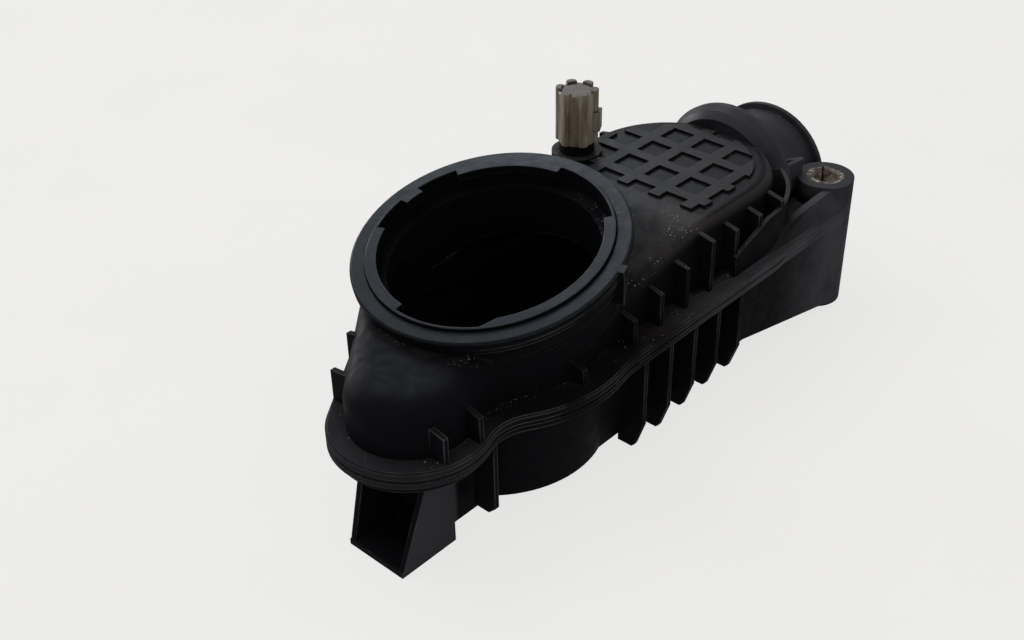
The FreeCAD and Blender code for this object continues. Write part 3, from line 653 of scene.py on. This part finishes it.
@dataclass(frozen=True)
class MouldedNylon:
    """Black glass filled nylon with a fine moulded grain, dulled on top by a dusty film with
    painted top light, and painted sheen on some faces.
    """

    name: str
    base: Triple = (0.0040, 0.0042, 0.0054)
    places: Places = Places()
    dust_and_top_light: DustAndPaintedTopLight = DustAndPaintedTopLight()
    rub: RubAndPaintedSheen = RubAndPaintedSheen()
    wear: Wear = Wear()
    soil: Soil = Soil()
    upward: Span = (0.2, 0.8)
    crevice_reach: float = 0.006
    crevice_openness: Span = (0.45, 0.85)
    specular: float = 0.010
    roughness: float = 0.54
    roughness_spread: float = 0.06
    deck_start: Span = (-0.096, -0.080)
    top_polish: float = 0.15
    nose_grain: float = 0.17
    nose_upward: Span = (0.62, 0.90)
    dirt_roughness: float = 0.3
    patches: Pattern = Pattern(260.0, (0.3, 0.7), detail=3.0, roughness=0.5)
    fine_grain: Pattern = Pattern(2600.0, detail=2.0, roughness=0.5)
    coarse_grain: Pattern = Pattern(700.0, detail=3.0)
    grain_share: float = 0.5
    grain_depth: float = 0.00010
    edge: float = 0.0005

    def gloss(self, sheet: Sheet, up: Socket, lying: Socket) -> Socket:
        """Roughness: smoother on top of the deck and the rim, duller on the nose and in dirt.

        Args:
            sheet: The material being built.
            up: Mask of the upward faces outside the mouth.
            lying: Mask of the upward corners that hold dirt.

        Returns:
            The roughness.
        """
        ends = (self.roughness - self.roughness_spread, self.roughness + self.roughness_spread)
        plain = sheet.ramp(sheet.noise(self.patches), self.patches.span, ends)
        deck = sheet.ramp(sheet.along(X_AXIS), self.deck_start)
        worn_smooth = sheet.most(self.places.rim(sheet), deck)
        polish = sheet.times(up, sheet.ramp(worn_smooth, UNIT, (0.0, self.top_polish)))
        dull = sheet.times(sheet.ramp(worn_smooth, UNIT, (self.nose_grain, 0.0)),
                           sheet.facing_up(self.nose_upward))
        return sheet.total(sheet.combine("SUBTRACT", plain, polish), dull,
                           sheet.times(lying, self.dirt_roughness))

    def build(self) -> bpy.types.Material:
        """Make the material: base, dusty film with painted top light, rubbed grey with painted
        sheen, wear, then soil and crumbs.

        Returns:
            The material.
        """
        sheet = Sheet(self.name)
        outside = self.places.outside(sheet)
        colour = self.dust_and_top_light.lay(sheet, self.places, sheet.colour(self.base), outside)
        colour = self.rub.lay(sheet, colour)
        crevice = sheet.hollow(self.crevice_reach, self.crevice_openness)
        colour = self.wear.lay(sheet, colour, crevice, outside)
        up = sheet.times(sheet.facing_up(self.upward), outside)
        lying = sheet.times(up, crevice)
        colour = self.soil.lay(sheet, colour, lying)
        relief = sheet.total(sheet.times(sheet.noise(self.fine_grain), self.grain_share),
                             sheet.times(sheet.noise(self.coarse_grain), self.grain_share))
        sheet.shader.inputs["Specular IOR Level"].default_value = self.specular
        return sheet.finish(colour, self.gloss(sheet, up, lying), relief, self.grain_depth,
                            self.edge)


@dataclass(frozen=True)
class TarnishedSteel:
    """Rolled steel that has gone dull and brown, paler in its bore than on its end."""

    name: str
    base: Triple = (0.430, 0.370, 0.325)
    tarnish: Triple = (0.110, 0.080, 0.062)
    worn_end: Triple = (0.032, 0.026, 0.022)
    patches: Pattern = Pattern(420.0, (0.38, 0.62), detail=6.0, roughness=0.7)
    rings: Pattern = Pattern(900.0, (0.35, 0.65), detail=3.0, roughness=0.5,
                             stretch=(1.0, 1.0, 6.0))
    end_share: float = 0.55
    end_upward: Span = (0.7, 0.9)
    roughness: Span = (0.45, 0.83)
    metallic: float = 0.1
    specular: float = 0.05
    patch_height: float = 0.6
    ring_height: float = 0.4
    depth: float = 0.00012
    edge: float = 0.0003

    def build(self) -> bpy.types.Material:
        """Make the material: steel with patches of tarnish and a dull end.

        Returns:
            The material.
        """
        sheet = Sheet(self.name)
        patches = sheet.mottle(self.patches)
        rings = sheet.noise(self.rings)
        ends = sheet.times(sheet.facing_up(self.end_upward),
                           sheet.ramp(rings, self.rings.span, (self.end_share, 1.0)))
        colour = sheet.layer(sheet.colour(self.base), sheet.colour(self.tarnish), patches)
        colour = sheet.layer(colour, sheet.colour(self.worn_end), ends)
        roughness = sheet.ramp(patches, UNIT, self.roughness)
        sheet.shader.inputs["Metallic"].default_value = self.metallic
        sheet.shader.inputs["Specular IOR Level"].default_value = self.specular
        relief = sheet.total(sheet.times(patches, self.patch_height),
                             sheet.times(rings, self.ring_height))
        return sheet.finish(colour, roughness, relief, self.depth, self.edge)


@dataclass(frozen=True)
class WornCap:
    """Dull warm grey of the small fluted cap, worn pale on its ribs."""

    name: str
    base: Triple = (0.110, 0.090, 0.064)
    worn: Triple = (0.260, 0.235, 0.190)
    painted_shade: Triple = (0.026, 0.020, 0.014)
    streaks: Pattern = Pattern(240.0, (0.34, 0.68), detail=5.0, roughness=0.65,
                               stretch=(1.0, 1.0, 0.18))
    crevice_reach: float = 0.003
    crevice_openness: Span = (0.40, 0.85)
    end_upward: Span = (0.6, 0.9)
    top_shade: Span = (0.90, 0.70)
    roughness: Span = (0.44, 0.62)
    specular: float = 0.04
    texture: Pattern = Pattern(1400.0)
    depth: float = 0.00010
    edge: float = 0.0006

    def build(self) -> bpy.types.Material:
        """Make the material: warm grey streaked along the flutes, with painted shade between
        them and on the top faces.

        Returns:
            The material.
        """
        sheet = Sheet(self.name)
        streaks = sheet.mottle(self.streaks)
        # Painted shade in the hollows between the flutes.
        crevice = sheet.hollow(self.crevice_reach, self.crevice_openness)
        # Painted shade on the top faces, less on the streaks.
        end = sheet.times(sheet.facing_up(self.end_upward),
                          sheet.ramp(streaks, UNIT, self.top_shade))
        colour = sheet.layer(sheet.colour(self.base), sheet.colour(self.worn), streaks)
        colour = sheet.layer(colour, sheet.colour(self.painted_shade), crevice)
        colour = sheet.layer(colour, sheet.colour(self.painted_shade), end)
        roughness = sheet.ramp(streaks, UNIT, self.roughness)
        sheet.shader.inputs["Specular IOR Level"].default_value = self.specular
        return sheet.finish(colour, roughness, sheet.noise(self.texture), self.depth, self.edge)


@dataclass(frozen=True)
class SealRubber:
    """Black rubber of the disc under the cap."""

    name: str
    base: Triple = (0.012, 0.012, 0.012)
    pale: Triple = (0.04, 0.04, 0.04)
    bloom: Pattern = Pattern(300.0, (0.4, 0.7), (0.0, 0.35))
    roughness: Span = (0.72, 0.86)
    texture: Pattern = Pattern(1800.0)
    depth: float = 0.00005
    edge: float = 0.0003

    def build(self) -> bpy.types.Material:
        """Make the material: matte black with a faint bloom.

        Returns:
            The material.
        """
        sheet = Sheet(self.name)
        bloom = sheet.mottle(self.bloom)
        colour = sheet.layer(sheet.colour(self.base), sheet.colour(self.pale), bloom)
        roughness = sheet.ramp(bloom, self.bloom.ends, self.roughness)
        return sheet.finish(colour, roughness, sheet.noise(self.texture), self.depth, self.edge)


@dataclass(frozen=True)
class FloorPaper:
    """Matte off-white floor that glows evenly where it is seen and still takes a shadow."""

    name: str
    pale: Triple = (0.86, 0.855, 0.85)
    shade: float = 0.985
    mottle: Pattern = Pattern(9.0, (0.3, 0.7), detail=5.0)
    roughness: Span = (0.85, 0.95)
    texture: Pattern = Pattern(900.0)
    depth: float = 0.00002
    edge: float = 0.0002
    glow: float = 0.88

    def build(self) -> bpy.types.Material:
        """Make the material: faint mottle, part lit and part glowing.

        Returns:
            The material.
        """
        sheet = Sheet(self.name)
        mottle = sheet.mottle(self.mottle)
        dark = tuple(self.shade * channel for channel in self.pale)
        colour = sheet.layer(sheet.colour(self.pale), sheet.colour(dark), mottle)
        roughness = sheet.ramp(mottle, UNIT, self.roughness)
        sheet.shader.inputs["Specular IOR Level"].default_value = 0.0
        material = sheet.finish(colour, roughness, sheet.noise(self.texture), self.depth,
                                self.edge)
        light = sheet.tree.nodes.new("ShaderNodeEmission")
        sheet.join(colour, light.inputs["Color"])
        both = sheet.tree.nodes.new("ShaderNodeMixShader")
        sheet.join(sheet.times(seen(sheet.tree), self.glow), both.inputs["Fac"])
        sheet.join(sheet.shader.outputs["BSDF"], both.inputs[1])
        sheet.join(light.outputs["Emission"], both.inputs[2])
        sheet.join(both.outputs["Shader"], sheet.output.inputs["Surface"])
        return material


def seen(tree: bpy.types.NodeTree) -> Socket:
    """Mask of the rays that show a surface: from the camera, a reflection or through glass.

    Args:
        tree: The node tree that needs the mask.

    Returns:
        The mask, 0 or 1.
    """
    path = tree.nodes.new("ShaderNodeLightPath")
    mask = path.outputs["Is Camera Ray"]
    for name in ("Is Glossy Ray", "Is Transmission Ray"):
        either = tree.nodes.new("ShaderNodeMath")
        either.operation = "MAXIMUM"
        tree.links.new(mask, either.inputs[0])
        tree.links.new(path.outputs[name], either.inputs[1])
        mask = either.outputs["Value"]
    return mask


def dress(node: bpy.types.Object, material: bpy.types.Material) -> None:
    """Give a CAD node one material on all its faces.

    Args:
        node: The CAD node's object.
        material: The finish it gets.
    """
    node.data.materials.clear()
    node.data.materials.append(material)
    LOG.info("dressed %s with %s", node.name, material.name)


def deselect() -> None:
    """Leave object mode with nothing selected."""
    if bpy.context.object and bpy.context.object.mode != "OBJECT":
        bpy.ops.object.mode_set(mode="OBJECT")
    bpy.ops.object.select_all(action="DESELECT")


@dataclass
class Shells:
    """The two welded nylon shells, the lower one with less dusty film and painted top light, and
    fewer crumbs.
    """

    upper: MouldedNylon = MouldedNylon("nylon_upper")
    lower: MouldedNylon = MouldedNylon("nylon_lower", dust_and_top_light=DustAndPaintedTopLight(amount=0.5),
                                       soil=Soil(crumb_amount=0.3))

    def dress(self, nodes: dict[str, bpy.types.Object]) -> None:
        """Give both shells their nylon."""
        dress(nodes[Part.UPPER_SHELL.value], self.upper.build())
        dress(nodes[Part.LOWER_SHELL.value], self.lower.build())


@dataclass
class MouthRing:
    """The bayonet ring in the mouth, which all counts as rim."""

    nylon: MouldedNylon = MouldedNylon(
        "nylon_ring", places=Places(mouth_inner=0.0, rim_height=0.050),
        dust_and_top_light=DustAndPaintedTopLight(amount=0.95), wear=Wear(amount=0.3),
        soil=Soil(amount=0.15, crumb_amount=0.1))

    def dress(self, nodes: dict[str, bpy.types.Object]) -> None:
        """Give the ring its finer, cleaner nylon."""
        dress(nodes[Part.RING.value], self.nylon.build())


@dataclass
class SmallParts:
    """The steel sleeve, the port's cap and the seal under it."""

    steel: TarnishedSteel = TarnishedSteel("sleeve_steel")
    cap: WornCap = WornCap("cap_grey")
    seal: SealRubber = SealRubber("seal_rubber")

    def dress(self, nodes: dict[str, bpy.types.Object]) -> None:
        """Give each small part its finish.

        Args:
            nodes: The CAD nodes' objects by name.
        """
        dress(nodes[Part.SLEEVE.value], self.steel.build())
        dress(nodes[Part.CAP.value], self.cap.build())
        dress(nodes[Part.SEAL.value], self.seal.build())


@dataclass(frozen=True)
class Lamp:
    """A square area lamp: where it stands, its width, its power in watts and its tint."""

    name: str
    place: Triple
    size: float
    power: float
    tint: Triple

    def hang(self, target: Vector) -> bpy.types.Object:
        """Add the lamp.

        Args:
            target: What it points at.

        Returns:
            The lamp's object.
        """
        data = bpy.data.lights.new(self.name, "AREA")
        data.shape = "SQUARE"
        data.size = self.size
        data.energy = self.power
        data.color = self.tint
        lamp = bpy.data.objects.new(self.name, data)
        lamp.location = self.place
        away = target - Vector(self.place)
        lamp.rotation_euler = away.to_track_quat("-Z", "Y").to_euler()
        bpy.context.scene.collection.objects.link(lamp)
        return lamp


@dataclass
class Studio:
    """Pale floor, soft lights and the camera."""

    floor_z: float = -0.0375
    floor_size: float = 6.0
    paper: FloorPaper = FloorPaper("floor_paper")
    backdrop: Triple = (0.855, 0.855, 0.855)
    ambient: float = 0.66
    ambient_tint: Triple = (1.0, 0.97, 0.92)
    middle: Triple = (-0.13, 0.0, 0.02)
    key: Lamp = Lamp("key", (-0.45, 0.75, 1.25), 1.0, 9.0, (0.97, 0.99, 1.0))
    cards: tuple[Lamp, ...] = (
        Lamp("sheen", (0.60, 0.90, 1.03), 0.7, 58.0, (0.86, 0.93, 1.0)),
        Lamp("window", (0.10, 1.45, 0.32), 0.5, 44.0, (0.97, 0.98, 1.0)))
    eye: Triple = (-0.374034, -0.226432, 0.224482)
    right: Triple = (0.675493, -0.737171, -0.017005)
    down: Triple = (-0.422206, -0.367768, -0.828547)
    forward: Triple = (0.604526, 0.566857, -0.559662)
    lens: float = 48.353
    sensor: float = 36.0
    clip: Span = (0.01, 20.0)

    def floor(self) -> None:
        """Lay the pale floor under the part."""
        deselect()
        bpy.ops.mesh.primitive_plane_add(size=self.floor_size, location=(0.0, 0.0, self.floor_z))
        plane = bpy.context.object
        plane.name = "floor"
        bpy.ops.object.transform_apply(location=True, rotation=True, scale=True)
        plane.data.materials.append(self.paper.build())

    def world(self) -> None:
        """Fill the surroundings with even light, and a pale colour where they are seen."""
        world = bpy.data.worlds.new("studio_world")
        bpy.context.scene.world = world
        world.use_nodes = True
        tree = world.node_tree
        tree.nodes.clear()
        output = tree.nodes.new("ShaderNodeOutputWorld")
        ambient = tree.nodes.new("ShaderNodeBackground")
        ambient.inputs["Color"].default_value = (*self.ambient_tint, 1.0)
        ambient.inputs["Strength"].default_value = self.ambient
        backdrop = tree.nodes.new("ShaderNodeBackground")
        backdrop.inputs["Color"].default_value = (*self.backdrop, 1.0)
        switch = tree.nodes.new("ShaderNodeMixShader")
        tree.links.new(seen(tree), switch.inputs["Fac"])
        tree.links.new(ambient.outputs["Background"], switch.inputs[1])
        tree.links.new(backdrop.outputs["Background"], switch.inputs[2])
        tree.links.new(switch.outputs["Shader"], output.inputs["Surface"])

    def lights(self) -> None:
        """Soft key from behind on the left, and two cards that show only as highlights."""
        middle = Vector(self.middle)
        self.key.hang(middle).visible_glossy = False
        for card in self.cards:
            card.hang(middle).visible_diffuse = False

    def camera(self) -> None:
        """Stand the camera where the photograph was taken."""
        data = bpy.data.cameras.new("photo_camera")
        data.sensor_fit = "HORIZONTAL"
        data.sensor_width = self.sensor
        data.lens = self.lens
        data.clip_start, data.clip_end = self.clip
        camera = bpy.data.objects.new("photo_camera", data)
        axes = Matrix((Vector(self.right), -Vector(self.down), -Vector(self.forward)))
        camera.matrix_world = Matrix.Translation(self.eye) @ axes.transposed().to_4x4()
        bpy.context.scene.collection.objects.link(camera)
        bpy.context.scene.camera = camera

    def build(self) -> None:
        """Set up floor, world, lights and camera."""
        self.floor()
        self.world()
        self.lights()
        self.camera()
        bpy.context.scene.view_settings.view_transform = "Standard"
        LOG.info("studio is ready")


def main() -> None:
    """Load the frame, dress it and set up the studio."""
    logging.basicConfig(level=logging.INFO, format="%(message)s")
    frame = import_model()
    nodes = frame["nodes"]
    for assembly in (Shells(), MouthRing(), SmallParts()):
        assembly.dress(nodes)
    Studio().build()


if __name__ == "__main__":
    main()
